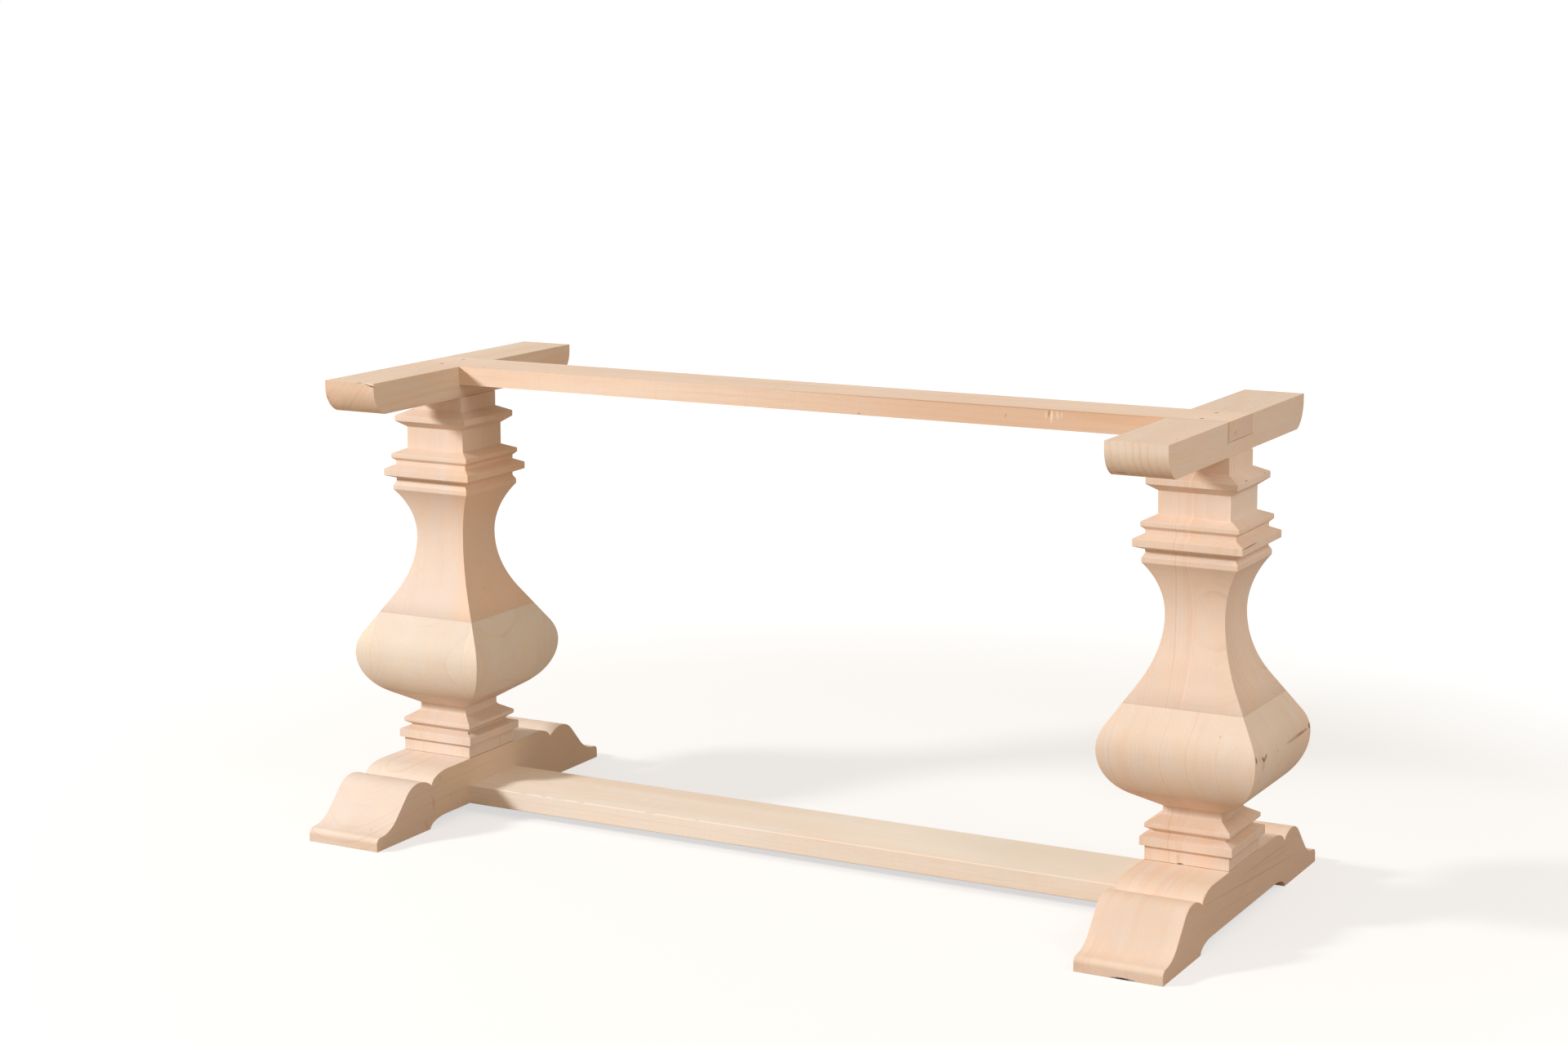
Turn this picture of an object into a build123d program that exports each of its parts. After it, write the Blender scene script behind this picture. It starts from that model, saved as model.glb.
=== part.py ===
from build123d import *
from math import atan2, tan
import os

# Trestle table base in raw hardwood, in millimetres.
# X runs along the stretcher, -Y is the front and Z is up from the floor, with the origin
# on the floor midway between the two pedestals.

# Layout
base_height = 724.0          # from the floor to the seat of the table top
post_spacing = 1290.0        # centre to centre of the pedestals
slip = 0.1                   # room round a screw or dowel in its hole

# Feet, sawn from one block to an ogee outline
foot_length = 636.0
foot_width = 130.0
foot_height = 88.0
toe_height = 12.0            # upright end of the toe, below its rounding
toe_round = 9.0
instep_run = 102.0           # from the toe's rounding to the top of the bump
instep_sweep = 0.5           # how much steeper the instep's straight is than the line between its ends
instep_toe_share = 0.58      # the toe's share of the instep's two arcs
bump_drop = 5.5              # from the level seat down to the top of the bump
bump_run = 36.5              # from the top of the bump to the notch
notch_depth = 18.0           # from the level seat down to the notch
quarter_run = 45.0           # from the notch to the level seat
pad_length = 142.0           # the part of the foot that stands on the floor, at each end
arch_height = 15.0           # relief between the pads
arch_run = 43.0              # the arch's rounding at each pad

# Pedestal moulding, from the foot upwards: widths across the flats, and heights of each member.
# The vase takes the height that the other members leave between the foot and the cleat.
plinth_width = 127.5
plinth_height = 22.0
band_width = 139.5
band_height = 13.0
band_slope = 4.5
base_waist_width = 111.0
base_waist_height = 3.0
ogee_width = 129.0
ogee_under = 5.5
ogee_edge = 6.0
ogee_rise = 16.0
ogee_sweep = 0.15            # how much flatter the ogee's straight is than the line between its ends
base_neck_width = 88.5
base_neck_height = 7.0
bulb_width = 237.0
bulb_under = 91.0            # from the base neck to the widest level
belly_sweep = 0.5            # fullness of the bulb's underside
vase_sweep = 0.5             # fullness of the vase between the bulb and its neck
shoulder_share = 0.26        # the shoulder's share of the vase's two arcs
vase_neck_width = 90.5
flare_height = 77.0
lip_width = 143.0
lip_height = 7.0
lip_slope = 6.5
low_waist_width = 135.0
low_waist_height = 5.0
collar_width = 163.5
collar_under = 5.0
collar_height = 11.0
collar_slope = 6.5
high_waist_width = 135.5
high_waist_height = 6.0
upper_collar_width = 146.5
upper_collar_under = 5.0
upper_collar_height = 6.5
upper_collar_slope = 8.0
frieze_width = 108.5
frieze_height = 35.0
cap_width = 136.5
cap_under = 10.0
cap_height = 9.0
cap_slope = 9.5
top_neck_width = 97.0
top_neck_height = 24.0
core_width = 180.0           # square of the glued staves, which the bulb's cheeks build out

# Top cleats and the rail that lies in their housings
cleat_length = 553.0
cleat_width = 92.0
cleat_web = 21.0             # wood left under the housing
cleat_end_height = 10.0      # upright part of each end, above its curve
cleat_end_run = 28.0         # how far each end curves in towards its underside
rail_width = 97.5
rail_thickness = 29.0

# Bottom stretcher
stretcher_width = 135.0
stretcher_thickness = 30.0
stretcher_ease = 1.5         # rounding of its long edges

# Lag screws, two at each end of a pedestal, on a diagonal so that each stave takes one
lag_offset = 25.0            # from the pedestal's axis, along X and along Y
foot_lag_diameter = 9.5
foot_lag_head_flats = 14.0
foot_lag_head_height = 6.5
foot_lag_bite = 47.0         # length inside the pedestal
foot_washer_diameter = 24.0
foot_washer_thickness = 2.0
foot_pocket_diameter = 27.0
foot_pocket_depth = 20.0
cleat_lag_diameter = 8.0
cleat_lag_head_flats = 12.5
cleat_lag_head_height = 5.5
cleat_lag_bite = 50.0
cleat_washer_diameter = 20.0
cleat_washer_thickness = 1.8
cleat_pocket_diameter = 23.0
cleat_pocket_depth = 9.0
point_length = 9.0           # taper at the tip of a screw

# Small-headed screws through the rail
rail_screw_spacing = 60.0
rail_screw_diameter = 4.0
rail_screw_head_diameter = 6.5
rail_screw_head_height = 3.0
rail_screw_bite = 13.0       # length inside the cleat

# Dowels between the stretcher and the feet
dowel_spacing = 100.0
dowel_diameter = 12.0
dowel_in_foot = 28.0
dowel_in_stretcher = 34.0
dowel_hole_spare = 1.0       # room left at each end of a dowel for the glue

# Levels of the pedestal's members, up from the foot to the bulb and down from the cleat to the neck
band_bottom = foot_height + plinth_height
band_top = band_bottom + band_height
base_waist_bottom = band_top + band_slope
base_waist_top = base_waist_bottom + base_waist_height
ogee_bottom = base_waist_top + ogee_under
ogee_top = ogee_bottom + ogee_edge
base_neck_bottom = ogee_top + ogee_rise
base_neck_top = base_neck_bottom + base_neck_height
bulb_level = base_neck_top + bulb_under
housing_floor = base_height - rail_thickness
cleat_bottom = housing_floor - cleat_web
top_neck_bottom = cleat_bottom - top_neck_height
cap_top = top_neck_bottom - cap_slope
cap_bottom = cap_top - cap_height
frieze_top = cap_bottom - cap_under
frieze_bottom = frieze_top - frieze_height
upper_collar_top = frieze_bottom - upper_collar_slope
upper_collar_bottom = upper_collar_top - upper_collar_height
high_waist_top = upper_collar_bottom - upper_collar_under
high_waist_bottom = high_waist_top - high_waist_height
collar_top = high_waist_bottom - collar_slope
collar_bottom = collar_top - collar_height
low_waist_top = collar_bottom - collar_under
low_waist_bottom = low_waist_top - low_waist_height
lip_top = low_waist_bottom - lip_slope
lip_bottom = lip_top - lip_height
vase_neck_level = lip_bottom - flare_height

# Places that several pieces share
foot_pocket_floor = arch_height + foot_pocket_depth
cleat_pocket_floor = housing_floor - cleat_pocket_depth
foot_lag_tip = foot_height + foot_lag_bite
cleat_lag_tip = cleat_bottom - cleat_lag_bite
rail_screw_tip = housing_floor - rail_screw_bite
stretcher_length = post_spacing - foot_width
dowel_level = arch_height + stretcher_thickness / 2
lag_places = [(lag_offset, lag_offset), (-lag_offset, -lag_offset)]
quarter_circle = 90.0


def rod(diameter, low, high):
    """An upright cylinder between two levels."""
    return Pos(0, 0, low) * Cylinder(
        diameter / 2, high - low, align=(Align.CENTER, Align.CENTER, Align.MIN)
    )


def at_lags(shape):
    """A copy of the shape at each lag screw of a pedestal on the Z axis."""
    return [Pos(x, y, 0) * shape for x, y in lag_places]


def swept_line(start, end, along, sweep, first_share=0.0):
    """A sawn S from start to end: an arc, a straight and an arc, each running on into the next.

    The straight leans (1 + sweep) times as far from the direction along as the line between
    the ends does. Each arc turns from it into that direction. first_share is what the arc at
    the start takes of the two arcs' length, and with none of it the straight begins there.
    """
    rise = (end - start).dot(along)
    across = end - start - along * rise
    lean = (1 + sweep) * atan2(across.length, rise)
    arcs = (rise * tan(lean) - across.length) / (tan(lean) - tan(lean / 2))
    step = along + across.normalized() * tan(lean / 2)
    knee = start + step * arcs * first_share
    last_knee = end - step * arcs * (1 - first_share)
    if first_share > 0:
        TangentArc(start, knee, tangent=along)
    straight = Line(knee, last_knee)
    TangentArc(last_knee, end, tangent=straight % 1)


def make_foot():
    """The left foot about the Z axis: ogee outline, arched underside, screw pockets, dowel holes."""
    toe = foot_length / 2
    instep = toe - toe_round
    bump = instep - instep_run
    notch = bump - bump_run
    seat = notch - quarter_run
    pad = toe - pad_length
    arch = pad - arch_run
    shin = toe_height + toe_round
    notch_height = foot_height - notch_depth
    inwards = Vector(-1, 0)
    ankle = Vector(instep, shin)
    knuckle = Vector(bump, foot_height - bump_drop)
    with BuildSketch() as outline:
        with BuildLine():
            Line((0, arch_height), (arch, arch_height))
            EllipticalCenterArc((arch, 0), arch_run, arch_height, start_angle=0, arc_size=quarter_circle)
            Line((pad, 0), (toe, 0))
            Line((toe, 0), (toe, toe_height))
            RadiusArc((toe, toe_height), ankle, -toe_round)
            swept_line(ankle, knuckle, inwards, instep_sweep, instep_toe_share)
            TangentArc(knuckle, (notch, notch_height), tangent=inwards)
            EllipticalCenterArc(
                (seat, notch_height), quarter_run, notch_depth, start_angle=0, arc_size=quarter_circle
            )
            Line((seat, foot_height), (0, foot_height))
            mirror(about=Plane.YZ)
        make_face()
    foot = extrude(Plane.YZ * outline.sketch, foot_width / 2, both=True)
    foot -= at_lags(rod(foot_pocket_diameter, 0, foot_pocket_floor))
    foot -= at_lags(rod(foot_lag_diameter + 2 * slip, foot_pocket_floor, foot_height))
    return foot - dowel_holes(foot_width / 2 - dowel_in_foot - dowel_hole_spare, foot_width / 2)


def dowel_holes(start, end):
    """Level holes for the two dowels, between two places along X."""
    radius = dowel_diameter / 2 + slip
    hole = Rot(0, 90, 0) * rod(2 * radius, start, end)
    return [Pos(0, side * dowel_spacing / 2, dowel_level) * hole for side in (-1, 1)]


def make_dowels():
    """The two dowels of the left foot, placed about that foot's axis."""
    start = foot_width / 2 - dowel_in_foot
    end = foot_width / 2 + dowel_in_stretcher
    dowel = Rot(0, 90, 0) * rod(dowel_diameter, start, end)
    return [Pos(0, side * dowel_spacing / 2, dowel_level) * dowel for side in (-1, 1)]


def post_outline():
    """The pedestal's outline: the moulding on one side, mirrored about the axis."""
    up = Vector(0, 1)
    ogee = Vector(ogee_width / 2, ogee_top)
    base_neck = Vector(base_neck_width / 2, base_neck_bottom)
    bulb_seat = Vector(base_neck_width / 2, base_neck_top)
    bulb = Vector(bulb_width / 2, bulb_level)
    vase_neck = Vector(vase_neck_width / 2, vase_neck_level)
    lip = Vector(lip_width / 2, lip_bottom)
    with BuildSketch() as outline:
        with BuildLine():
            Polyline(
                (0, foot_height),
                (plinth_width / 2, foot_height),
                (plinth_width / 2, band_bottom),
                (band_width / 2, band_bottom),
                (band_width / 2, band_top),
                (base_waist_width / 2, base_waist_bottom),
                (base_waist_width / 2, base_waist_top),
                (ogee_width / 2, ogee_bottom),
                ogee,
            )
            swept_line(ogee, base_neck, up, ogee_sweep)
            Line(base_neck, bulb_seat)
            swept_line(bulb_seat, bulb, up, belly_sweep)
            swept_line(bulb, vase_neck, up, vase_sweep, shoulder_share)
            TangentArc(vase_neck, lip, tangent=up)
            Polyline(
                lip,
                (lip_width / 2, lip_top),
                (low_waist_width / 2, low_waist_bottom),
                (low_waist_width / 2, low_waist_top),
                (collar_width / 2, collar_bottom),
                (collar_width / 2, collar_top),
                (high_waist_width / 2, high_waist_bottom),
                (high_waist_width / 2, high_waist_top),
                (upper_collar_width / 2, upper_collar_bottom),
                (upper_collar_width / 2, upper_collar_top),
                (frieze_width / 2, frieze_bottom),
                (frieze_width / 2, frieze_top),
                (cap_width / 2, cap_bottom),
                (cap_width / 2, cap_top),
                (top_neck_width / 2, top_neck_bottom),
                (top_neck_width / 2, cleat_bottom),
                (0, cleat_bottom),
            )
            mirror(about=Plane.YZ)
        make_face()
    return outline.sketch


def make_post():
    """The left pedestal about the Z axis, as its two staves and four cheeks.

    The outline is worked on all four faces, so each member mitres at the corners. The cheeks
    are what the bulb has outside the staves' square: the two at the sides run the full width,
    and the front and rear ones lie between them.
    """
    reach = max(bulb_width, collar_width)
    outline = post_outline()
    across = extrude(Plane.XZ * outline, reach, both=True)
    along = extrude(Plane.YZ * outline, reach, both=True)
    blank = across & along

    cheek_height = vase_neck_level - base_neck_top
    cheek_depth = reach - core_width / 2
    cheek_middle = (core_width / 2 + reach) / 2
    cheek_level = (base_neck_top + vase_neck_level) / 2
    side_block = Pos(cheek_middle, 0, cheek_level) * Box(cheek_depth, 2 * reach, cheek_height)
    face_block = Pos(0, cheek_middle, cheek_level) * Box(core_width, cheek_depth, cheek_height)
    blocks = {
        "inner_cheek": side_block,
        "outer_cheek": Rot(0, 0, 180) * side_block,
        "rear_cheek": face_block,
        "front_cheek": Rot(0, 0, 180) * face_block,
    }
    pieces = {name: blank & block for name, block in blocks.items()}

    core = blank - list(blocks.values())
    core -= at_lags(rod(foot_lag_diameter + 2 * slip, foot_height, foot_lag_tip + slip))
    core -= at_lags(rod(cleat_lag_diameter + 2 * slip, cleat_lag_tip - slip, cleat_bottom))
    pieces["front_stave"] = split(core, bisect_by=Plane.XZ, keep=Keep.TOP)
    pieces["rear_stave"] = split(core, bisect_by=Plane.XZ, keep=Keep.BOTTOM)
    return pieces


def make_cleat():
    """The left cleat about the Z axis: curved ends, a housing for the rail, screw pockets."""
    end = cleat_length / 2
    foot_of_end = end - cleat_end_run
    shoulder = base_height - cleat_end_height
    with BuildSketch() as outline:
        with BuildLine():
            Line((0, cleat_bottom), (foot_of_end, cleat_bottom))
            TangentArc((end, shoulder), (foot_of_end, cleat_bottom), tangent=(0, -1))
            Line((end, shoulder), (end, base_height))
            Line((end, base_height), (rail_width / 2, base_height))
            Line((rail_width / 2, base_height), (rail_width / 2, housing_floor))
            Line((rail_width / 2, housing_floor), (0, housing_floor))
            mirror(about=Plane.YZ)
        make_face()
    cleat = extrude(Plane.YZ * outline.sketch, cleat_width / 2, both=True)
    cleat -= at_lags(rod(cleat_pocket_diameter, cleat_pocket_floor, housing_floor))
    cleat -= at_lags(rod(cleat_lag_diameter + 2 * slip, cleat_bottom, cleat_pocket_floor))
    pilot = rod(rail_screw_diameter + 2 * slip, rail_screw_tip - slip, housing_floor)
    return cleat - at_rail_screws(pilot)


def at_rail_screws(shape):
    """A copy of the shape at each of the two rail screws of a cleat on the Z axis."""
    return [Pos(0, side * rail_screw_spacing / 2, 0) * shape for side in (-1, 1)]


def make_rail():
    """The flat rail from outer face to outer face of the cleats, countersunk for its screws."""
    length = post_spacing + cleat_width
    level = (housing_floor + base_height) / 2
    rail = Pos(0, 0, level) * Box(length, rail_width, rail_thickness)
    head = Pos(0, 0, base_height - rail_screw_head_height) * rail_screw_head(slip)
    hole = rod(rail_screw_diameter + 2 * slip, housing_floor, base_height) + head
    for side in (-1, 1):
        rail -= [Pos(side * post_spacing / 2, 0, 0) * cut for cut in at_rail_screws(hole)]
    return rail


def make_stretcher():
    """The flat stretcher between the feet, level with their arches, with its dowel holes."""
    level = arch_height + stretcher_thickness / 2
    board = Pos(0, 0, level) * Box(stretcher_length, stretcher_width, stretcher_thickness)
    board = fillet(board.edges().filter_by(Axis.X), stretcher_ease)
    end = stretcher_length / 2
    depth = dowel_in_stretcher + dowel_hole_spare
    return board - dowel_holes(-end, depth - end) - dowel_holes(end - depth, end)


def make_lag(diameter, head_flats, head_height, length):
    """A hexagon-headed lag screw, pointing up, with the underside of its head at the origin."""
    head = extrude(RegularPolygon(head_flats / 2, 6, major_radius=False), -head_height)
    shank = rod(diameter, 0, length - point_length)
    tip = Pos(0, 0, length - point_length) * Cone(
        diameter / 2, diameter / 8, point_length, align=(Align.CENTER, Align.CENTER, Align.MIN)
    )
    return head + shank + tip


def make_washer(diameter, hole, thickness):
    """A flat washer lying on the origin."""
    return rod(diameter, 0, thickness) - rod(hole, 0, thickness)


def rail_screw_head(room):
    """The countersunk head of a rail screw, standing on the origin, with room left round it."""
    return Cone(
        rail_screw_diameter / 2 + room,
        rail_screw_head_diameter / 2 + room,
        rail_screw_head_height,
        align=(Align.CENTER, Align.CENTER, Align.MIN),
    )


def make_rail_screw():
    """A rail screw in place on the Z axis, its head flush with the top of the rail."""
    neck = base_height - rail_screw_head_height
    return rod(rail_screw_diameter, rail_screw_tip, neck) + Pos(0, 0, neck) * rail_screw_head(0)


def to_left(shape):
    """A shape made about the Z axis, moved to the left pedestal."""
    return Pos(-post_spacing / 2, 0, 0) * shape


def to_both(shapes):
    """One group of solids: the shapes at the left pedestal and their mirror images at the right."""
    left = [to_left(shape) for shape in shapes]
    return Part() + left + [mirror(shape, about=Plane.YZ) for shape in left]


foot = to_left(make_foot())
cleat = to_left(make_cleat())
nodes = {
    "left_foot": foot,
    "right_foot": mirror(foot, about=Plane.YZ),
    "left_cleat": cleat,
    "right_cleat": mirror(cleat, about=Plane.YZ),
    "top_rail": make_rail(),
    "bottom_stretcher": make_stretcher(),
}

# The right pedestal is the left one turned a quarter turn, so its side cheeks face front and rear.
turned_names = {
    "inner_cheek": "rear_cheek",
    "outer_cheek": "front_cheek",
    "rear_cheek": "inner_cheek",
    "front_cheek": "outer_cheek",
    "front_stave": "outer_stave",
    "rear_stave": "inner_stave",
}
quarter_turn = Pos(post_spacing / 2, 0, 0) * Rot(0, 0, 90)
for name, piece in make_post().items():
    nodes["left_post_" + name] = to_left(piece)
    nodes["right_post_" + turned_names[name]] = quarter_turn * piece

foot_head_level = foot_pocket_floor - foot_washer_thickness
foot_lag = make_lag(
    foot_lag_diameter, foot_lag_head_flats, foot_lag_head_height, foot_lag_tip - foot_head_level
)
foot_washer = make_washer(foot_washer_diameter, foot_lag_diameter + 2 * slip, foot_washer_thickness)
nodes["foot_lag_screws"] = to_both(at_lags(Pos(0, 0, foot_head_level) * foot_lag))
nodes["foot_washers"] = to_both(at_lags(Pos(0, 0, foot_head_level) * foot_washer))

cleat_head_level = cleat_pocket_floor + cleat_washer_thickness
cleat_lag = make_lag(
    cleat_lag_diameter, cleat_lag_head_flats, cleat_lag_head_height, cleat_head_level - cleat_lag_tip
)
cleat_washer = make_washer(cleat_washer_diameter, cleat_lag_diameter + 2 * slip, cleat_washer_thickness)
nodes["cleat_lag_screws"] = to_both(at_lags(Pos(0, 0, cleat_head_level) * Rot(180, 0, 0) * cleat_lag))
nodes["cleat_washers"] = to_both(at_lags(Pos(0, 0, cleat_pocket_floor) * cleat_washer))

nodes["rail_screws"] = to_both(at_rail_screws(make_rail_screw()))
nodes["stretcher_dowels"] = to_both(make_dowels())

os.makedirs("parts", exist_ok=True)
for name, solid in nodes.items():
    export_step(solid, f"parts/{name}.step")
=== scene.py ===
from math import atan2, pi, radians, sqrt, tan

import bmesh
import bpy
from mathutils import Euler, Matrix, Vector


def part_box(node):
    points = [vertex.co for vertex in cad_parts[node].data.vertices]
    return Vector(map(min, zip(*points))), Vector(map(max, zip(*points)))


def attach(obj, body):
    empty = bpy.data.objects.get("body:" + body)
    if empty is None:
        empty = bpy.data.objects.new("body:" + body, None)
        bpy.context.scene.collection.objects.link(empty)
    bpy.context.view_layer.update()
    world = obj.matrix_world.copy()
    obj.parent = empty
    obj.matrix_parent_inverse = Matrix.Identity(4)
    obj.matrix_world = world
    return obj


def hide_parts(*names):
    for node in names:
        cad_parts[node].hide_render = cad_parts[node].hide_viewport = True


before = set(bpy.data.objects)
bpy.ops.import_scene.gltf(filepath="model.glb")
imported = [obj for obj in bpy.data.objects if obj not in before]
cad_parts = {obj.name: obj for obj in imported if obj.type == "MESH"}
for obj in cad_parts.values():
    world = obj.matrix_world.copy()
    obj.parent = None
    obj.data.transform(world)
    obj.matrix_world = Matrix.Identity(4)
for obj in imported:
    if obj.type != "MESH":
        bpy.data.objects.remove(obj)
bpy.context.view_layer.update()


# Feet: each is one block of hard maple, sawn to an ogee at both ends and relieved between its pads.
# The wood is planed, sanded and left raw, so its outer edges are only just eased.
# Lag screws in pockets under the arch hold the pedestal.
weld_reach = 0.000001
flat_turn = radians(0.3)
sanded_turn = radians(18)
crisp_turn = radians(35)
up = Vector((0.0, 0.0, 1.0))


def eased_copy(node, ease):
    """A welded copy of a solid, with its sharp outer edges rounded over as sandpaper leaves them."""
    bm = bmesh.new()
    bm.from_mesh(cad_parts[node].data)
    bmesh.ops.remove_doubles(bm, verts=bm.verts, dist=weld_reach)
    bmesh.ops.dissolve_limit(bm, angle_limit=flat_turn, verts=bm.verts, edges=bm.edges)
    ease_edges(bm, ease)
    return bm


def ease_edges(bm, ease):
    """Rounds over every outer edge that turns by more than a sanded curve does."""
    sharp = [
        edge
        for edge in bm.edges
        if edge.is_manifold and edge.is_convex and edge.calc_face_angle() > sanded_turn
    ]
    bmesh.ops.bevel(
        bm,
        geom=sharp,
        offset=ease,
        offset_type="OFFSET",
        segments=2,
        profile=0.5,
        affect="EDGES",
        material=-1,
        clamp_overlap=True,
    )


def show(bm, node, material):
    """Puts a finished mesh in the scene as the visible piece of a solid."""
    mesh = bpy.data.meshes.new(node + "_shape")
    bm.to_mesh(mesh)
    bm.free()
    mesh.materials.append(material)
    mesh.shade_smooth()
    mesh.set_sharp_from_angle(angle=crisp_turn)
    piece = bpy.data.objects.new(node + "_shape", mesh)
    bpy.context.scene.collection.objects.link(piece)
    weighted = piece.modifiers.new("even_shading", "WEIGHTED_NORMAL")
    weighted.keep_sharp = True
    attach(piece, "root")
    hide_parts(node)
    return piece


def wire(tree, source, target):
    """Links a socket to an input, or sets the input where the source is a plain value."""
    if isinstance(source, bpy.types.NodeSocket):
        tree.links.new(source, target)
    else:
        target.default_value = source


def calc(tree, operation, *values):
    """A number worked out from sockets or plain values."""
    node = tree.nodes.new("ShaderNodeMath")
    node.operation = operation
    for value, target in zip(values, node.inputs):
        wire(tree, value, target)
    return node.outputs["Value"]


def reach(tree, value, low, high):
    """A mask that rises smoothly from 0 to 1 while the value goes from low to high."""
    node = tree.nodes.new("ShaderNodeMapRange")
    node.interpolation_type = "SMOOTHSTEP"
    for word, source in (("Value", value), ("From Min", low), ("From Max", high)):
        wire(tree, source, node.inputs[word])
    return node.outputs["Result"]


def vector_calc(tree, operation, first, second=None):
    """A vector, or its length, worked out from sockets or plain vectors."""
    node = tree.nodes.new("ShaderNodeVectorMath")
    node.operation = operation
    wire(tree, first, node.inputs[0])
    if second is not None:
        wire(tree, second, node.inputs[1])
    return node.outputs["Value" if operation in ("LENGTH", "DOT_PRODUCT") else "Vector"]


def cloud(tree, place, scale, detail=2.0, drift=None):
    """Smooth noise in space, which may change with one more value too."""
    node = tree.nodes.new("ShaderNodeTexNoise")
    if drift is not None:
        node.noise_dimensions = "4D"
        wire(tree, drift, node.inputs["W"])
    wire(tree, place, node.inputs["Vector"])
    node.inputs["Scale"].default_value = scale
    node.inputs["Detail"].default_value = detail
    return node


def tint(tree, mask, below, above, blend="MIX"):
    """Lays one colour over another where the mask is."""
    node = tree.nodes.new("ShaderNodeMix")
    node.data_type = "RGBA"
    node.blend_type = blend
    wire(tree, mask, node.inputs["Factor"])
    colours = [socket for socket in node.inputs if socket.type == "RGBA"]
    wire(tree, below, colours[0])
    wire(tree, above, colours[1])
    return [socket for socket in node.outputs if socket.type == "RGBA"][0]


def make_figure_group():
    """The figure of a log of maple whose heart is the Z axis.

    It gives growth rings, broad tone, blotches, soft streaks, fine fibre and a planer's ripples.
    """
    group = bpy.data.node_groups.new("maple_figure", "ShaderNodeTree")
    for word, kind in (
        ("Log", "NodeSocketVector"),
        ("Ring Width", "NodeSocketFloat"),
        ("Sway", "NodeSocketVector"),
        ("Rarity", "NodeSocketFloat"),
    ):
        group.interface.new_socket(word, in_out="INPUT", socket_type=kind)
    for word in ("Rings", "Tone", "Blotch", "Streak", "Fibre", "Ripple"):
        group.interface.new_socket(word, in_out="OUTPUT", socket_type="NodeSocketFloat")
    given = group.nodes.new("NodeGroupInput").outputs
    result = group.nodes.new("NodeGroupOutput").inputs

    # The trunk sways slowly along its length, and each ring shivers a little.
    middle = (0.5, 0.5, 0.5)
    shiver_size = (0.0016, 0.0016, 0.0)
    slow = vector_calc(group, "MULTIPLY", given["Log"], (1.0, 1.0, 0.22))
    sway = vector_calc(group, "SUBTRACT", cloud(group, slow, scale=7.0).outputs["Color"], middle)
    sway = vector_calc(group, "MULTIPLY", sway, given["Sway"])
    shiver = vector_calc(group, "SUBTRACT", cloud(group, slow, scale=60.0).outputs["Color"], middle)
    shiver = vector_calc(group, "MULTIPLY", shiver, shiver_size)
    bent = vector_calc(group, "ADD", vector_calc(group, "ADD", given["Log"], sway), shiver)
    flat = vector_calc(group, "MULTIPLY", bent, (1.0, 1.0, 0.0))
    radius = vector_calc(group, "LENGTH", flat)
    years = calc(group, "DIVIDE", radius, given["Ring Width"])
    years = calc(group, "ADD", years, cloud(group, slow, scale=16.0).outputs["Fac"])

    # A year's wood darkens towards its last growth. Years differ, and fade in and out.
    part_year = calc(group, "FRACT", years)
    darkens = reach(group, part_year, 0.4, 0.95)
    ends = reach(group, part_year, 1.0, 0.955)
    late = calc(group, "MULTIPLY", darkens, ends)
    year = group.nodes.new("ShaderNodeTexWhiteNoise")
    year.noise_dimensions = "1D"
    wire(group, calc(group, "FLOOR", years), year.inputs["W"])
    strength = calc(group, "POWER", year.outputs["Value"], given["Rarity"])
    strength = calc(group, "MULTIPLY_ADD", strength, 0.92, 0.08)
    fade = reach(group, cloud(group, slow, scale=12.0).outputs["Fac"], 0.36, 0.62)
    fade = calc(group, "MULTIPLY_ADD", fade, 0.8, 0.2)
    rings = calc(group, "MULTIPLY", calc(group, "MULTIPLY", late, strength), fade)
    wire(group, rings, result["Rings"])

    # Soft streaks follow the rings round the heart, and change slowly along the trunk.
    around = vector_calc(group, "MULTIPLY", vector_calc(group, "NORMALIZE", flat), (0.05, 0.05, 0.0))
    outwards = group.nodes.new("ShaderNodeCombineXYZ")
    wire(group, radius, outwards.inputs["Z"])
    banded = vector_calc(group, "ADD", around, outwards.outputs["Vector"])
    upwards = group.nodes.new("ShaderNodeSeparateXYZ")
    wire(group, bent, upwards.inputs["Vector"])
    slow_rise = calc(group, "MULTIPLY", upwards.outputs["Z"], 0.04)
    streaks = cloud(group, banded, scale=70.0, detail=4.0, drift=slow_rise).outputs["Fac"]
    wire(group, reach(group, streaks, 0.45, 0.72), result["Streak"])

    # Broad changes of tone, small blotches, the fine fibre along the grain, and ripples across it.
    broad = vector_calc(group, "MULTIPLY", bent, (1.0, 1.0, 0.3))
    fine = vector_calc(group, "MULTIPLY", bent, (1.0, 1.0, 0.06))
    crosswise = vector_calc(group, "MULTIPLY", given["Log"], (0.03, 0.03, 1.0))
    for word, place, scale, detail, low, high in (
        ("Tone", broad, 10.0, 3.0, 0.2, 0.8),
        ("Blotch", broad, 42.0, 3.0, 0.3, 0.7),
        ("Fibre", fine, 480.0, 2.0, 0.42, 0.75),
        ("Ripple", crosswise, 380.0, 2.0, 0.48, 0.7),
    ):
        noise = cloud(group, place, scale, detail).outputs["Fac"]
        wire(group, reach(group, noise, low, high), result[word])
    return group


figure_group = make_figure_group()


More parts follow.
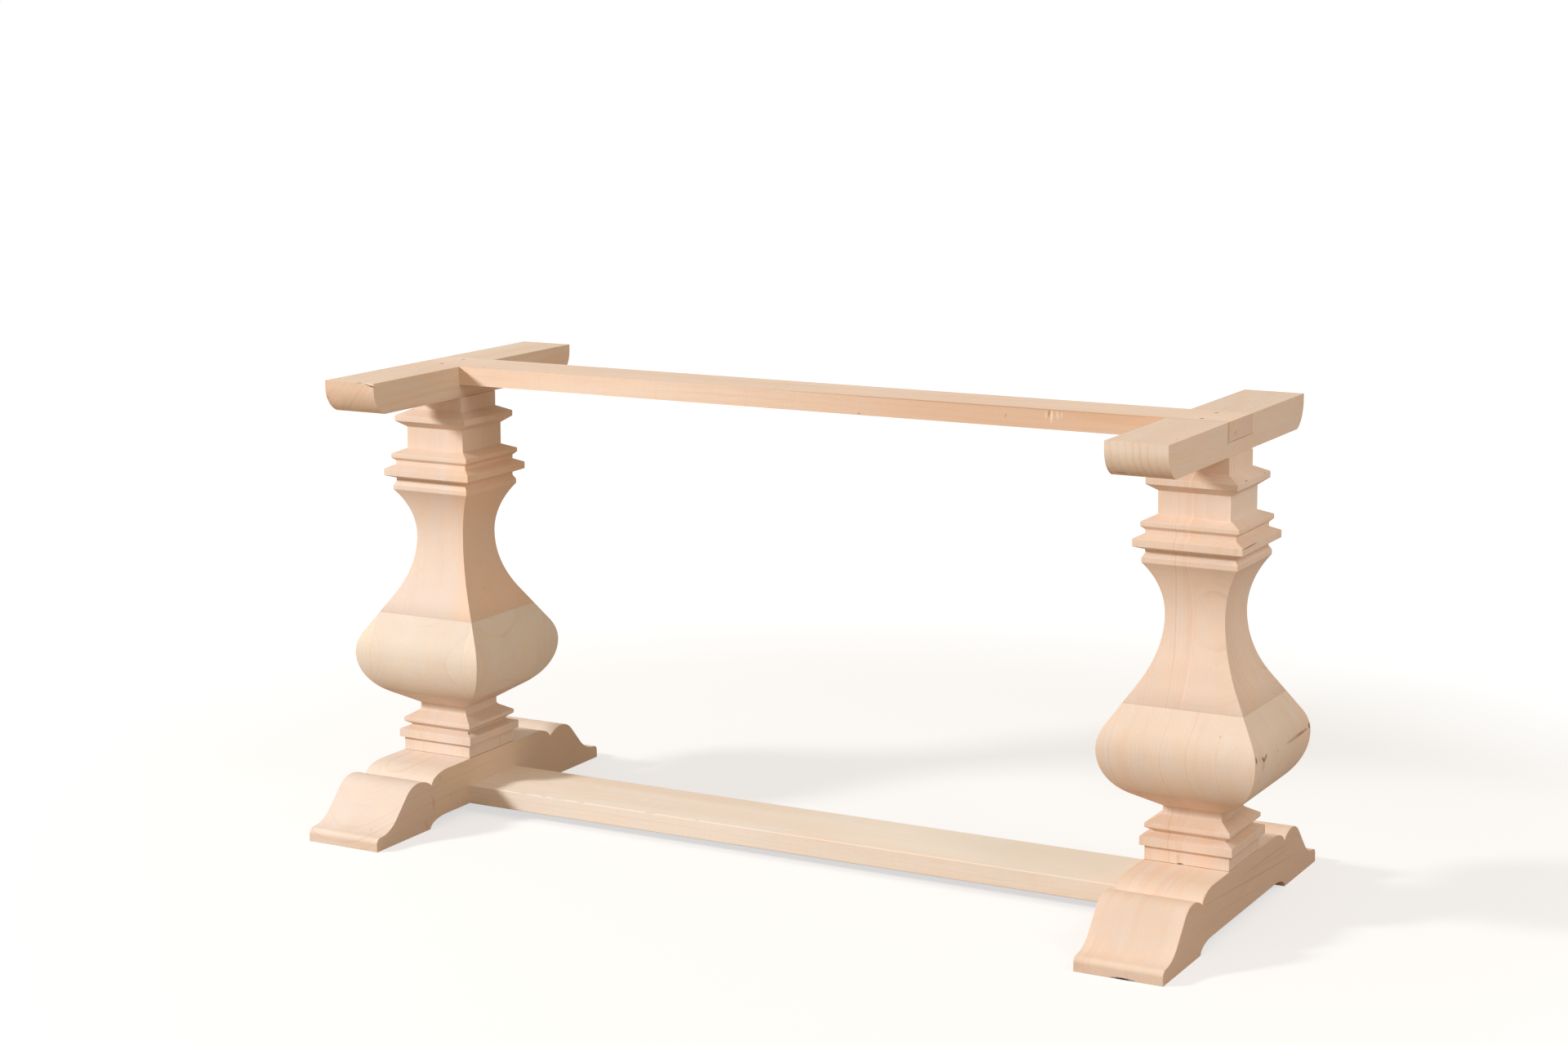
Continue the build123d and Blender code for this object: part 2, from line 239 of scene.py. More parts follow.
def make_mark_group():
    """One mark in the wood, such as a pin knot, a split or a glue line: an oval patch of a stain."""
    group = bpy.data.node_groups.new("wood_mark", "ShaderNodeTree")
    for word, kind in (
        ("Wood", "NodeSocketColor"),
        ("Stain", "NodeSocketColor"),
        ("Place", "NodeSocketVector"),
        ("Turn", "NodeSocketVector"),
        ("Size", "NodeSocketVector"),
        ("Depth", "NodeSocketFloat"),
    ):
        group.interface.new_socket(word, in_out="INPUT", socket_type=kind)
    group.interface.new_socket("Colour", in_out="OUTPUT", socket_type="NodeSocketColor")
    given = group.nodes.new("NodeGroupInput").outputs
    result = group.nodes.new("NodeGroupOutput").inputs
    space = group.nodes.new("ShaderNodeTexCoord").outputs["Object"]
    centred = group.nodes.new("ShaderNodeMapping")
    centred.vector_type = "TEXTURE"
    wire(group, space, centred.inputs["Vector"])
    for word, target in (("Place", "Location"), ("Turn", "Rotation"), ("Size", "Scale")):
        wire(group, given[word], centred.inputs[target])
    distance = vector_calc(group, "LENGTH", centred.outputs["Vector"])
    ragged = calc(group, "MULTIPLY_ADD", cloud(group, space, scale=700.0).outputs["Fac"], 0.9, -0.45)
    patch = reach(group, calc(group, "ADD", distance, ragged), 1.2, 0.5)
    patch = calc(group, "MULTIPLY", patch, given["Depth"])
    wire(group, tint(group, patch, given["Wood"], given["Stain"]), result["Colour"])
    return group


mark_group = make_mark_group()
knot_brown = (0.27, 0.12, 0.04)
split_black = (0.07, 0.03, 0.012)
# Painted shadow, as deep inside a chip where no light reaches.
chip_shadow_black = (0.012, 0.008, 0.006)
glue_tan = (0.55, 0.36, 0.22)
blush_pink = (0.90, 0.64, 0.50)


def mark(stain, place, size, depth, turn=(0.0, 0.0, 0.0)):
    """One mark for a board: its stain, place, half sizes, depth of colour and turn in degrees."""
    return stain, place, size, depth, turn


def maple(
    name,
    heart,
    turn,
    pale,
    deep,
    ring=0.006,
    rarity=3.0,
    line=0.5,
    streak=0.22,
    end=0.5,
    end_tint=(0.80, 0.70, 0.62),
    sway=0.015,
    ripple=0.0,
    marks=(),
):
    """Raw maple sawn from a log whose heart passes through a place, turned in degrees from upright.

    ring is a year's growth and sway how far the trunk wanders, in metres. line, streak, end and
    ripple say how strongly the rings, the pink streaks, the end grain's tint and the planer's
    ripples show, and with more rarity fewer rings stand out. The marks are laid on in their order.
    """
    material = bpy.data.materials.new(name)
    material.use_nodes = True
    tree = material.node_tree
    shader = tree.nodes["Principled BSDF"]
    log = tree.nodes.new("ShaderNodeMapping")
    log.vector_type = "TEXTURE"
    log.inputs["Location"].default_value = heart
    log.inputs["Rotation"].default_value = [radians(angle) for angle in turn]
    wire(tree, tree.nodes.new("ShaderNodeTexCoord").outputs["Object"], log.inputs["Vector"])
    figure = tree.nodes.new("ShaderNodeGroup")
    figure.node_tree = figure_group
    wire(tree, log.outputs["Vector"], figure.inputs["Log"])
    figure.inputs["Ring Width"].default_value = ring
    figure.inputs["Sway"].default_value = (sway, sway, 0.0)
    figure.inputs["Rarity"].default_value = rarity

    blotch_pink = (1.012, 0.988, 0.955, 1.0)
    blotch_cream = (0.988, 1.008, 1.035, 1.0)
    ring_brown = (0.74, 0.56, 0.42, 1.0)
    streak_pink = (0.97, 0.83, 0.75, 1.0)
    fibre_tan = (0.90, 0.82, 0.74, 1.0)
    fibre_show = 0.2
    ripple_tan = (0.95, 0.88, 0.82, 1.0)
    colour = tint(tree, figure.outputs["Tone"], (*pale, 1.0), (*deep, 1.0))
    blotches = tint(tree, figure.outputs["Blotch"], blotch_pink, blotch_cream)
    colour = tint(tree, 1.0, colour, blotches, "MULTIPLY")
    streaks = calc(tree, "MULTIPLY", figure.outputs["Streak"], streak)
    colour = tint(tree, streaks, colour, streak_pink, "MULTIPLY")
    rings = calc(tree, "MULTIPLY", figure.outputs["Rings"], line)
    colour = tint(tree, rings, colour, ring_brown, "MULTIPLY")
    fibre = calc(tree, "MULTIPLY", figure.outputs["Fibre"], fibre_show)
    colour = tint(tree, fibre, colour, fibre_tan, "MULTIPLY")
    if ripple > 0.0:
        ripples = calc(tree, "MULTIPLY", figure.outputs["Ripple"], ripple)
        colour = tint(tree, ripples, colour, ripple_tan, "MULTIPLY")

    # A cut across the fibres shows end grain, which has a tint of its own.
    along = Euler([radians(angle) for angle in turn]).to_matrix() @ up
    normal = tree.nodes.new("ShaderNodeNewGeometry").outputs["Normal"]
    facing = calc(tree, "ABSOLUTE", vector_calc(tree, "DOT_PRODUCT", normal, along))
    across = calc(tree, "MULTIPLY", reach(tree, facing, 0.5, 1.0), end)
    colour = tint(tree, across, colour, (*end_tint, 1.0), "MULTIPLY")

    for stain, place, size, depth, mark_turn in marks:
        spot = tree.nodes.new("ShaderNodeGroup")
        spot.node_tree = mark_group
        wire(tree, colour, spot.inputs["Wood"])
        spot.inputs["Stain"].default_value = (*stain, 1.0)
        spot.inputs["Place"].default_value = place
        spot.inputs["Size"].default_value = size
        spot.inputs["Turn"].default_value = [radians(angle) for angle in mark_turn]
        spot.inputs["Depth"].default_value = depth
        colour = spot.outputs["Colour"]
    wire(tree, colour, shader.inputs["Base Color"])

    # Rings stand a little proud, fibres lie open, and the open fibres are rougher.
    bump = tree.nodes.new("ShaderNodeBump")
    bump.inputs["Strength"].default_value = 0.15
    bump.inputs["Distance"].default_value = 0.0003
    height = calc(tree, "SUBTRACT", figure.outputs["Rings"], figure.outputs["Fibre"])
    wire(tree, height, bump.inputs["Height"])
    wire(tree, bump.outputs["Normal"], shader.inputs["Normal"])
    sanded_rough = 0.6
    fibre_rough = 0.12
    rough = calc(tree, "MULTIPLY_ADD", figure.outputs["Fibre"], fibre_rough, sanded_rough)
    wire(tree, rough, shader.inputs["Roughness"])
    shader.inputs["Specular IOR Level"].default_value = 0.2
    return material


foot_ease = 0.0008
left_foot_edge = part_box("left_foot")[1].x
right_foot_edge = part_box("right_foot")[1].x
# Painted shade for the feet's sides that face away from the key light.
painted_shade_tan = (0.80, 0.57, 0.36)
painted_shade_brown = (0.66, 0.47, 0.335)
streak_red = (0.62, 0.33, 0.21)
side_line = (0.50, 0.32, 0.20)
toe_grey = (0.74, 0.60, 0.51)
slope_tan = (0.70, 0.60, 0.55)
left_foot_wood = maple(
    "left_foot_maple",
    heart=(-0.665, 0.0, 0.13),
    turn=(90.0, 0.0, 2.0),
    pale=(0.86, 0.75, 0.672),
    deep=(0.82, 0.685, 0.582),
    ring=0.008,
    line=0.32,
    end=0.15,
    marks=(
        # Painted shade: the inner side, which faces away from the key light, is made tanner, most of all
        # at its rear, and the slope is greyer.
        mark(painted_shade_tan, (left_foot_edge, 0.0, 0.04), (0.0015, 0.7, 0.3), 0.4),
        mark(painted_shade_brown, (left_foot_edge, 0.21, 0.03), (0.0015, 0.14, 0.2), 0.4),
        mark(slope_tan, (-0.6475, -0.235, 0.05), (0.4, 0.085, 0.07), 0.35),
        # Red streaks and a pin knot on that side, and a fleck on the slope.
        mark(streak_red, (left_foot_edge, -0.167, 0.040), (0.002, 0.005, 0.013), 0.3, (14.0, 0.0, 0.0)),
        mark(streak_red, (left_foot_edge, -0.148, 0.077), (0.002, 0.004, 0.006), 0.25),
        mark(streak_red, (left_foot_edge, -0.186, 0.006), (0.002, 0.004, 0.014), 0.3, (20.0, 0.0, 0.0)),
        mark(knot_brown, (-0.580, -0.1195, 0.0413), (0.002, 0.0024, 0.0012), 0.5),
        mark(knot_brown, (-0.6127, -0.2891, 0.0245), (0.001, 0.004, 0.002), 0.35, (0.0, 0.0, 20.0)),
    ),
)
right_foot_wood = maple(
    "right_foot_maple",
    heart=(1.05, 0.0, 0.06),
    turn=(90.0, 0.0, -1.0),
    pale=(0.89, 0.74, 0.63),
    deep=(0.85, 0.67, 0.54),
    ring=0.009,
    line=0.3,
    streak=0.5,
    end=0.0,
    marks=(
        # Painted shade makes the outer side, which faces away from the key light, browner; fine dark
        # lines run along it.
        mark(painted_shade_brown, (right_foot_edge, 0.0, 0.04), (0.0015, 0.7, 0.3), 0.5),
        mark(side_line, (right_foot_edge, 0.029, 0.0525), (0.002, 0.22, 0.0017), 0.35, (-4.6, 0.0, 0.0)),
        mark(side_line, (right_foot_edge, 0.10, 0.0657), (0.002, 0.11, 0.0015), 0.35, (-1.1, 0.0, 0.0)),
        mark(side_line, (right_foot_edge, 0.12, 0.0575), (0.002, 0.10, 0.0012), 0.2, (-3.0, 0.0, 0.0)),
        mark(side_line, (right_foot_edge, -0.02, 0.036), (0.002, 0.13, 0.0014), 0.15, (-3.6, 0.0, 0.0)),
        # The toe is greyed on its slope, stained at one corner and pink above, and a black patch at the
        # floor paints the shadow inside a chip.
        mark(toe_grey, (0.640, -0.25, 0.05), (0.07, 0.05, 0.05), 0.45),
        mark(chip_shadow_black, (0.6515, -0.318, 0.0), (0.018, 0.004, 0.0031), 1.0),
        mark(glue_tan, (0.586, -0.316, 0.012), (0.008, 0.008, 0.012), 0.2),
        mark(blush_pink, (0.626, -0.298, 0.022), (0.022, 0.016, 0.01), 0.5),
        mark(blush_pink, (0.666, -0.295, 0.023), (0.010, 0.012, 0.01), 0.4),
    ),
)
show(eased_copy("left_foot", foot_ease), "left_foot", left_foot_wood)
show(eased_copy("right_foot", foot_ease), "right_foot", right_foot_wood)


# Stretcher: one flat maple board between the feet, butted against their inner faces with dowels
# and glue. Its long edges are rounded over, and its ends are only just eased.
stretcher_ease = 0.0003
# Painted shadow of the left pedestal on the stretcher's top.
painted_shadow_tan = (0.80, 0.62, 0.47)
board_cream = (0.965, 0.905, 0.81)
stretcher_wood = maple(
    "stretcher_maple",
    heart=(0.0, 0.05, -0.16),
    turn=(0.0, 90.0, 0.6),
    pale=(0.945, 0.87, 0.795),
    deep=(0.915, 0.81, 0.71),
    line=0.3,
    streak=0.22,
    ripple=0.15,
    marks=[
        # Scuffs along the front edge.
        mark(glue_tan, (along, -0.0668, 0.0447), (length, 0.0016, 0.0006), 0.45, (0.0, 0.0, turn))
        for along, length, turn in (
            (-0.475, 0.014, 4.0),
            (-0.437, 0.006, -6.0),
            (-0.410, 0.013, 3.0),
            (-0.368, 0.009, -5.0),
            (-0.240, 0.012, 5.0),
            (-0.155, 0.003, 0.0),
        )
    ]
    + [
        # Painted shadow: the rear of the top is tanner on the left, where the left pedestal's soft
        # shadow falls. The right half is creamier.
        mark(painted_shadow_tan, (-0.34, 0.068, 0.045), (0.30, 0.042, 0.02), 0.35, (0.0, 0.0, -3.0)),
        mark(board_cream, (0.33, 0.02, 0.045), (0.34, 0.09, 0.004), 0.6),
    ],
)
show(eased_copy("bottom_stretcher", stretcher_ease), "bottom_stretcher", stretcher_wood)


# Pedestals: glued-up square blanks of maple, with one moulding outline worked on all four faces.
# Two staves run the full height, and four cheeks build out the bulb. The wood is cut from the
# blank along the planes of each solid's own box, so the glue lines lie where the solids meet.
def stroke(bm, pen, half, level):
    """A straight line of the outline, from the pen to a half width and a level."""
    tip = bmesh.ops.extrude_vert_indiv(bm, verts=[pen])["verts"][0]
    tip.co = (half, 0.0, level)
    return tip


def only(kind, geom):
    """The points, edges or faces among what an operator gives back."""
    return [item for item in geom if isinstance(item, kind)]


def bend(bm, pen, heading, half, level, steps):
    """An arc of the outline, which leaves the pen along a heading."""
    chord = Vector((half, 0.0, level)) - pen.co
    side = Vector((-heading.z, 0.0, heading.x))
    off = chord.dot(side)
    centre = pen.co + side * (chord.length_squared / (2.0 * off))
    angle = 2.0 * atan2(off, chord.dot(heading))
    spun = bmesh.ops.spin(
        bm, geom=[pen], cent=centre, axis=(0.0, -1.0, 0.0), angle=angle, steps=steps
    )
    return only(bmesh.types.BMVert, spun["geom_last"])[0]


def sweep_to(bm, pen, half, level, sweep, steps, first_share=0.0):
    """A sawn S of the outline: an arc, a straight and an arc, upright at both ends.

    The straight leans (1 + sweep) times as much as the line between the ends. With no first
    share the straight starts at the pen.
    """
    run = half - pen.co.x
    rise = level - pen.co.z
    lean = (1.0 + sweep) * atan2(abs(run), rise)
    arcs = (rise * tan(lean) - abs(run)) / (tan(lean) - tan(lean / 2.0))
    step = Vector((tan(lean / 2.0) * (1.0 if run > 0.0 else -1.0), 0.0, 1.0))
    knee = pen.co + step * arcs * first_share
    last_knee = Vector((half, 0.0, level)) - step * arcs * (1.0 - first_share)
    heading = (last_knee - knee).normalized()
    if first_share > 0.0:
        pen = bend(bm, pen, up, knee.x, knee.z, steps)
    pen = stroke(bm, pen, last_knee.x, last_knee.z)
    return bend(bm, pen, heading, half, level, steps)


# Widths across the flats, and how far each line climbs: plinth, band, waist and ogee below the
# vase, then lip, collar, upper collar, frieze, cap and neck above it.
base_moulding = [
    (0.1275, 0.0), (0.1275, 0.022), (0.1395, 0.0), (0.1395, 0.013),
    (0.111, 0.0045), (0.111, 0.003), (0.129, 0.0055), (0.129, 0.006),
]
top_moulding = [
    (0.143, 0.007), (0.135, 0.0065), (0.135, 0.005), (0.1635, 0.005), (0.1635, 0.011),
    (0.1355, 0.0065), (0.1355, 0.006), (0.1465, 0.005), (0.1465, 0.0065), (0.1085, 0.008),
    (0.1085, 0.035), (0.1365, 0.010), (0.1365, 0.009), (0.097, 0.0095), (0.097, 0.024),
]
ogee_climb = 0.016
ogee_sweep = 0.15
ogee_steps = 5
base_neck_width = 0.0885
base_neck_climb = 0.007
bulb_climb = 0.091
vase_sweep = 0.5
vase_steps = 18
shoulder_share = 0.26
vase_neck_width = 0.0905
flare_climb = 0.077
post_ease = 0.0007
sanded_off = 0.00002
face_slack = 0.001


def pedestal_blank(centre, bottom, bulb_width, top):
    """The whole moulded blank: its outline spun in four steps, so that every member mitres."""
    bm = bmesh.new()
    pen = bmesh.ops.create_vert(bm, co=(0.0, 0.0, bottom))["vert"][0]
    level = bottom
    for width, climb in base_moulding:
        level += climb
        pen = stroke(bm, pen, width / 2.0, level)
    level += ogee_climb
    pen = sweep_to(bm, pen, base_neck_width / 2.0, level, ogee_sweep, ogee_steps)
    level += base_neck_climb
    pen = stroke(bm, pen, base_neck_width / 2.0, level)
    level += bulb_climb
    pen = sweep_to(bm, pen, bulb_width / 2.0, level, vase_sweep, vase_steps)
    level = top - sum(climb for width, climb in top_moulding)
    neck_level = level - flare_climb
    pen = sweep_to(bm, pen, vase_neck_width / 2.0, neck_level, vase_sweep, vase_steps, shoulder_share)
    pen = bend(bm, pen, up, top_moulding[0][0] / 2.0, level, vase_steps)
    for width, climb in top_moulding:
        level += climb
        pen = stroke(bm, pen, width / 2.0, level)
    stroke(bm, pen, 0.0, top)
    bmesh.ops.scale(bm, vec=(sqrt(2.0), 1.0, 1.0), verts=bm.verts)
    bmesh.ops.rotate(bm, matrix=Matrix.Rotation(pi / 4.0, 3, "Z"), verts=bm.verts)
    bmesh.ops.spin(
        bm,
        geom=bm.verts[:] + bm.edges[:],
        axis=(0.0, 0.0, 1.0),
        angle=2.0 * pi,
        steps=4,
        use_merge=True,
    )
    bmesh.ops.remove_doubles(bm, verts=bm.verts, dist=weld_reach)
    bmesh.ops.recalc_face_normals(bm, faces=bm.faces)
    ease_edges(bm, post_ease)
    bmesh.ops.translate(bm, vec=(centre, 0.0, 0.0), verts=bm.verts)
    return bm


def cut_planes(blank, node):
    """The planes where the box of a stave or cheek cuts the blank, as axis, side and place."""
    low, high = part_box(node)
    planes = []
    for axis in (0, 1):
        ends = [vert.co[axis] for vert in blank.verts]
        for side, place in ((-1.0, low[axis]), (1.0, high[axis])):
            if min(ends) + face_slack < place < max(ends) - face_slack:
                planes.append((axis, side, place))
    return planes


def saw(bm, axis, place, side=1.0, drop_waste=False):
    """Cuts a mesh across an axis, and may drop what lies on the far side of the cut."""
    on_plane = Vector((0.0, 0.0, 0.0))
    on_plane[axis] = place
    outwards = Vector((0.0, 0.0, 0.0))
    outwards[axis] = side
    bmesh.ops.bisect_plane(
        bm,
        geom=bm.verts[:] + bm.edges[:] + bm.faces[:],
        dist=weld_reach,
        plane_co=on_plane,
        plane_no=outwards,
        clear_outer=drop_waste,
    )


def cut_from(blank, node):
    """What the blank holds inside the box of one stave or cheek."""
    bm = blank.copy()
    for axis, side, place in cut_planes(blank, node):
        saw(bm, axis, place, side, drop_waste=True)
        bmesh.ops.holes_fill(bm, edges=[edge for edge in bm.edges if edge.is_boundary], sides=0)
    return bm


left_pale = (0.83, 0.71, 0.62)
left_deep = (0.79, 0.645, 0.545)
right_pale = (0.90, 0.75, 0.64)
right_deep = (0.86, 0.69, 0.57)
cheek_pale = (0.875, 0.765, 0.66)
cheek_deep = (0.845, 0.705, 0.59)
left_cheek_pale = (0.835, 0.76, 0.66)
left_cheek_deep = (0.805, 0.70, 0.59)
faint_line = 0.28
plain_line = 0.4

# Each board's log: where its heart passes, how it leans in degrees, and its pale and deep tones.
post_woods = {
    "left_post_front_stave": ((-0.36, 0.03, 0.0), (0.4, 0.6, 0.0), left_pale, left_deep),
    "left_post_rear_stave": ((-0.80, 0.16, 0.0), (0.0, -1.0, 0.0), left_pale, left_deep),
    "left_post_front_cheek": ((-0.648, 0.02, 0.0), (0.4, 0.0, 0.0), left_cheek_pale, left_cheek_deep),
    "left_post_rear_cheek": ((-0.66, -0.07, 0.0), (0.0, 0.8, 0.0), left_cheek_pale, left_cheek_deep),
    "left_post_inner_cheek": ((-0.69, -0.03, 0.0), (0.0, 0.5, 0.0), left_cheek_pale, left_cheek_deep),
    "left_post_outer_cheek": ((-0.58, 0.03, 0.0), (1.2, 0.0, 0.0), left_cheek_pale, left_cheek_deep),
    "right_post_inner_stave": ((0.36, -0.10, 0.0), (0.0, 0.8, 0.0), right_pale, right_deep),
    "right_post_outer_stave": ((0.675, 0.07, 0.0), (0.5, 0.3, 0.0), right_pale, right_deep),
    "right_post_front_cheek": ((0.42, -0.04, 0.0), (0.8, -1.0, 0.0), cheek_pale, cheek_deep),
    "right_post_rear_cheek": ((0.62, -0.06, 0.0), (0.0, 1.0, 0.0), right_pale, right_deep),
    "right_post_inner_cheek": ((0.75, 0.04, 0.0), (1.0, 0.0, 0.0), cheek_pale, cheek_deep),
    "right_post_outer_cheek": ((0.60, 0.25, 0.0), (0.0, 1.0, 0.0), cheek_pale, cheek_deep),
}
gap_black = (0.05, 0.03, 0.02)
crack_brown = (0.05, 0.02, 0.006)
# Painted shade: a warm red for the shaded inner side of the left post.
painted_shade_red = (0.89, 0.61, 0.42)
shoulder_tan = (0.70, 0.56, 0.46)
seam_pink = (0.84, 0.62, 0.50)
seam_cream = (0.92, 0.79, 0.68)
glue_ochre = (0.72, 0.50, 0.26)
frieze_cream = (0.90, 0.80, 0.72)
left_shoulder = mark(slope_tan, (-0.6475, -0.09, 0.33), (0.4, 0.06, 0.09), 0.42)
right_shoulder = mark(shoulder_tan, (0.6475, -0.072, 0.345), (0.1, 0.03, 0.045), 0.35)
# Painted shade: a red wash over the left post's inner side, which faces away from the key light, paints
# its warm shade.
left_side_shade = mark(painted_shade_red, (-0.565, 0.0, 0.45), (0.045, 0.3, 0.22), 0.6)
post_marks = {
    "left_post_rear_stave": (left_side_shade,),
    "left_post_front_cheek": (left_shoulder,),
    "left_post_front_stave": (
        left_shoulder,
        left_side_shade,
        # A dark knot above the band, near the corner, and a fleck higher up on the inner side.
        mark(split_black, (-0.5867, -0.0568, 0.1266), (0.0022, 0.0022, 0.002), 1.0),
        mark(knot_brown, (-0.5797, -0.0179, 0.3603), (0.002, 0.0014, 0.006), 0.3, (20.0, 0.0, 0.0)),
    ),
    "right_post_inner_stave": (
        right_shoulder,
        # Pink and cream wood along the glue line, and glue above the open joint at the foot.
        mark(seam_pink, (0.638, 0.0, 0.4), (0.006, 0.4, 0.9), 0.35),
        mark(seam_cream, (0.6455, 0.0, 0.4), (0.0045, 0.4, 0.9), 0.4),
        mark(glue_ochre, (0.6325, -0.0638, 0.097), (0.0035, 0.003, 0.008), 0.4),
        mark(gap_black, (0.6355, -0.0638, 0.0894), (0.005, 0.003, 0.0010), 0.9),
    ),
    "right_post_outer_stave": (
        right_shoulder,
        # A paler frieze, a crack along the collar's top edge and two flecks above the cap.
        mark(frieze_cream, (0.69, 0.0, 0.61), (0.05, 0.1, 0.04), 0.6),
        mark(crack_brown, (0.7268, -0.0535, 0.5534), (0.003, 0.036, 0.0009), 0.8, (1.0, 0.0, 0.0)),
        mark(knot_brown, (0.7122, -0.0312, 0.641), (0.002, 0.007, 0.0006), 0.6),
        mark(knot_brown, (0.7126, 0.0451, 0.6408), (0.002, 0.0014, 0.001), 0.8),
    ),
    # The right bulb is scuffed brown round its outer side, where it is widest.
    "right_post_front_cheek": (
        mark(knot_brown, (0.7078, -0.107, 0.2926), (0.002, 0.003, 0.0009), 0.4, (0.0, 30.0, 0.0)),
        mark(knot_brown, (0.7630, -0.112, 0.267), (0.003, 0.003, 0.006), 0.9),
        mark(knot_brown, (0.7630, -0.0995, 0.265), (0.003, 0.0016, 0.005), 0.4),
    ),
    "right_post_outer_cheek": (
        mark(knot_brown, (0.7633, -0.0855, 0.2625), (0.003, 0.008, 0.003), 0.85, (-35.0, 0.0, 0.0)),
        mark(knot_brown, (0.7633, -0.0766, 0.2625), (0.003, 0.010, 0.003), 0.75, (25.0, 0.0, 0.0)),
        mark(knot_brown, (0.7625, -0.085, 0.2525), (0.003, 0.008, 0.008), 0.2),
        mark(knot_brown, (0.7634, -0.0249, 0.2596), (0.003, 0.004, 0.0018), 0.2),
        mark(knot_brown, (0.7617, -0.0164, 0.2388), (0.003, 0.005, 0.0016), 0.2),
        mark(knot_brown, (0.7632, 0.056, 0.2622), (0.004, 0.046, 0.003), 0.4, (0.8, 0.0, 0.0)),
        mark(knot_brown, (0.7632, 0.078, 0.2626), (0.004, 0.022, 0.0024), 0.5, (0.8, 0.0, 0.0)),
    ),
    "right_post_rear_cheek": (
        mark(knot_brown, (0.7631, 0.096, 0.2628), (0.004, 0.010, 0.0022), 0.5),
        mark(knot_brown, (0.7630, 0.115, 0.2655), (0.004, 0.006, 0.005), 0.85),
    ),
}
glue_half = 0.0005
joint_half = 0.0007
past_joint = 0.3
past_board = 0.9
seam_level = 0.3
for post in ("left", "right"):
    foot_low, foot_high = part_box(post + "_foot")
    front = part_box(post + "_post_front_cheek")[0].y
    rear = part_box(post + "_post_rear_cheek")[1].y
    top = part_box(post + "_cleat")[0].z
    centre = (foot_low.x + foot_high.x) / 2.0
    blank = pedestal_blank(centre, foot_high.z, rear - front - sanded_off, top)
    # The foot's joint shows as a dark line, and the glue lines as thin tan ones.
    joint = mark(gap_black, (centre, 0.0, foot_high.z), (past_joint, past_joint, joint_half), 0.9)
    for node, (heart, lean, pale, deep) in post_woods.items():
        if not node.startswith(post):
            continue
        seams = [joint]
        for axis, side, place in cut_planes(blank, node):
            seam_place = [centre, 0.0, seam_level]
            seam_place[axis] = place
            seam_size = [past_board, past_board, past_board]
            seam_size[axis] = glue_half
            seams.append(mark(glue_tan, seam_place, seam_size, 0.2))
        wood = maple(
            node + "_maple",
            heart,
            lean,
            pale,
            deep,
            line=faint_line if post == "left" or node.endswith("cheek") else plain_line,
            streak=0.3,
            end=0.3,
            marks=(*seams, *post_marks.get(node, ())),
        )
        show(cut_from(blank, node), node, wood)
    blank.free()


# Cleats: one maple bar on each pedestal, rounded at both ends and housed across the top for the rail.
# Lag screws, whose heads lie under the rail, fix it to the pedestal's top.
cleat_ease = 0.0006
split_pale = (0.95, 0.84, 0.72)
scratch_brown = (0.50, 0.24, 0.10)
left_cleat_wood = maple(
    "left_cleat_maple",
    heart=(-0.80, 0.0, 0.86),
    turn=(90.0, 0.0, 0.8),
    pale=(0.87, 0.74, 0.62),
    deep=(0.82, 0.66, 0.53),
    ring=0.009,
    rarity=1.2,
    line=0.42,
    streak=0.4,
    end=0.55,
    marks=(
        # The split corner of the front end, then a pink and a brown spot on that end.
        mark(split_pale, (-0.614, -0.276, 0.7236), (0.014, 0.006, 0.0024), 0.7, (0.0, 8.0, 0.0)),
        mark(split_black, (-0.609, -0.276, 0.7213), (0.010, 0.006, 0.0007), 0.9, (0.0, 14.0, 0.0)),
        mark(split_black, (-0.603, -0.276, 0.7199), (0.005, 0.006, 0.0011), 0.9, (0.0, 14.0, 0.0)),
        mark(knot_brown, (-0.626, -0.276, 0.7238), (0.010, 0.004, 0.0007), 0.5, (0.0, 4.0, 0.0)),
        mark(blush_pink, (-0.676, -0.270, 0.692), (0.014, 0.016, 0.012), 0.45),
        mark(knot_brown, (-0.690, -0.273, 0.697), (0.004, 0.006, 0.003), 0.3, (0.0, 30.0, 0.0)),
    ),
)
rail_low, rail_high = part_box("top_rail")
joint_brown = (0.08, 0.045, 0.025)

# The joints round the rail's end show as dark lines, on the cleat and on the rail.
rail_joints = (
    mark(joint_brown, (rail_high.x, rail_low.y, 0.71), (0.004, 0.0012, 0.02), 0.9),
    mark(joint_brown, (rail_high.x, 0.0, rail_low.z), (0.004, 0.06, 0.0008), 0.5),
    mark(joint_brown, (rail_high.x, rail_high.y, 0.71), (0.004, 0.0008, 0.02), 0.35),
)
right_cleat_wood = maple(
    "right_cleat_maple",
    heart=(0.34, 0.0, 0.66),
    turn=(90.0, 0.0, -0.4),
    pale=(0.86, 0.73, 0.61),
    deep=(0.81, 0.65, 0.53),
    ring=0.0105,
    rarity=0.8,
    line=0.38,
    streak=0.12,
    end=1.0,
    end_tint=(1.09, 1.16, 1.19),
    marks=(
        *rail_joints,
        # A pin knot on the top and a scratch on the front end.
        mark(knot_brown, (0.6813, -0.2206, 0.724), (0.0016, 0.0016, 0.0016), 0.8),
        mark(scratch_brown, (0.6183, -0.2586, 0.6793), (0.009, 0.003, 0.0014), 0.6),
    ),
)
show(eased_copy("left_cleat", cleat_ease), "left_cleat", left_cleat_wood)
show(eased_copy("right_cleat", cleat_ease), "right_cleat", right_cleat_wood)


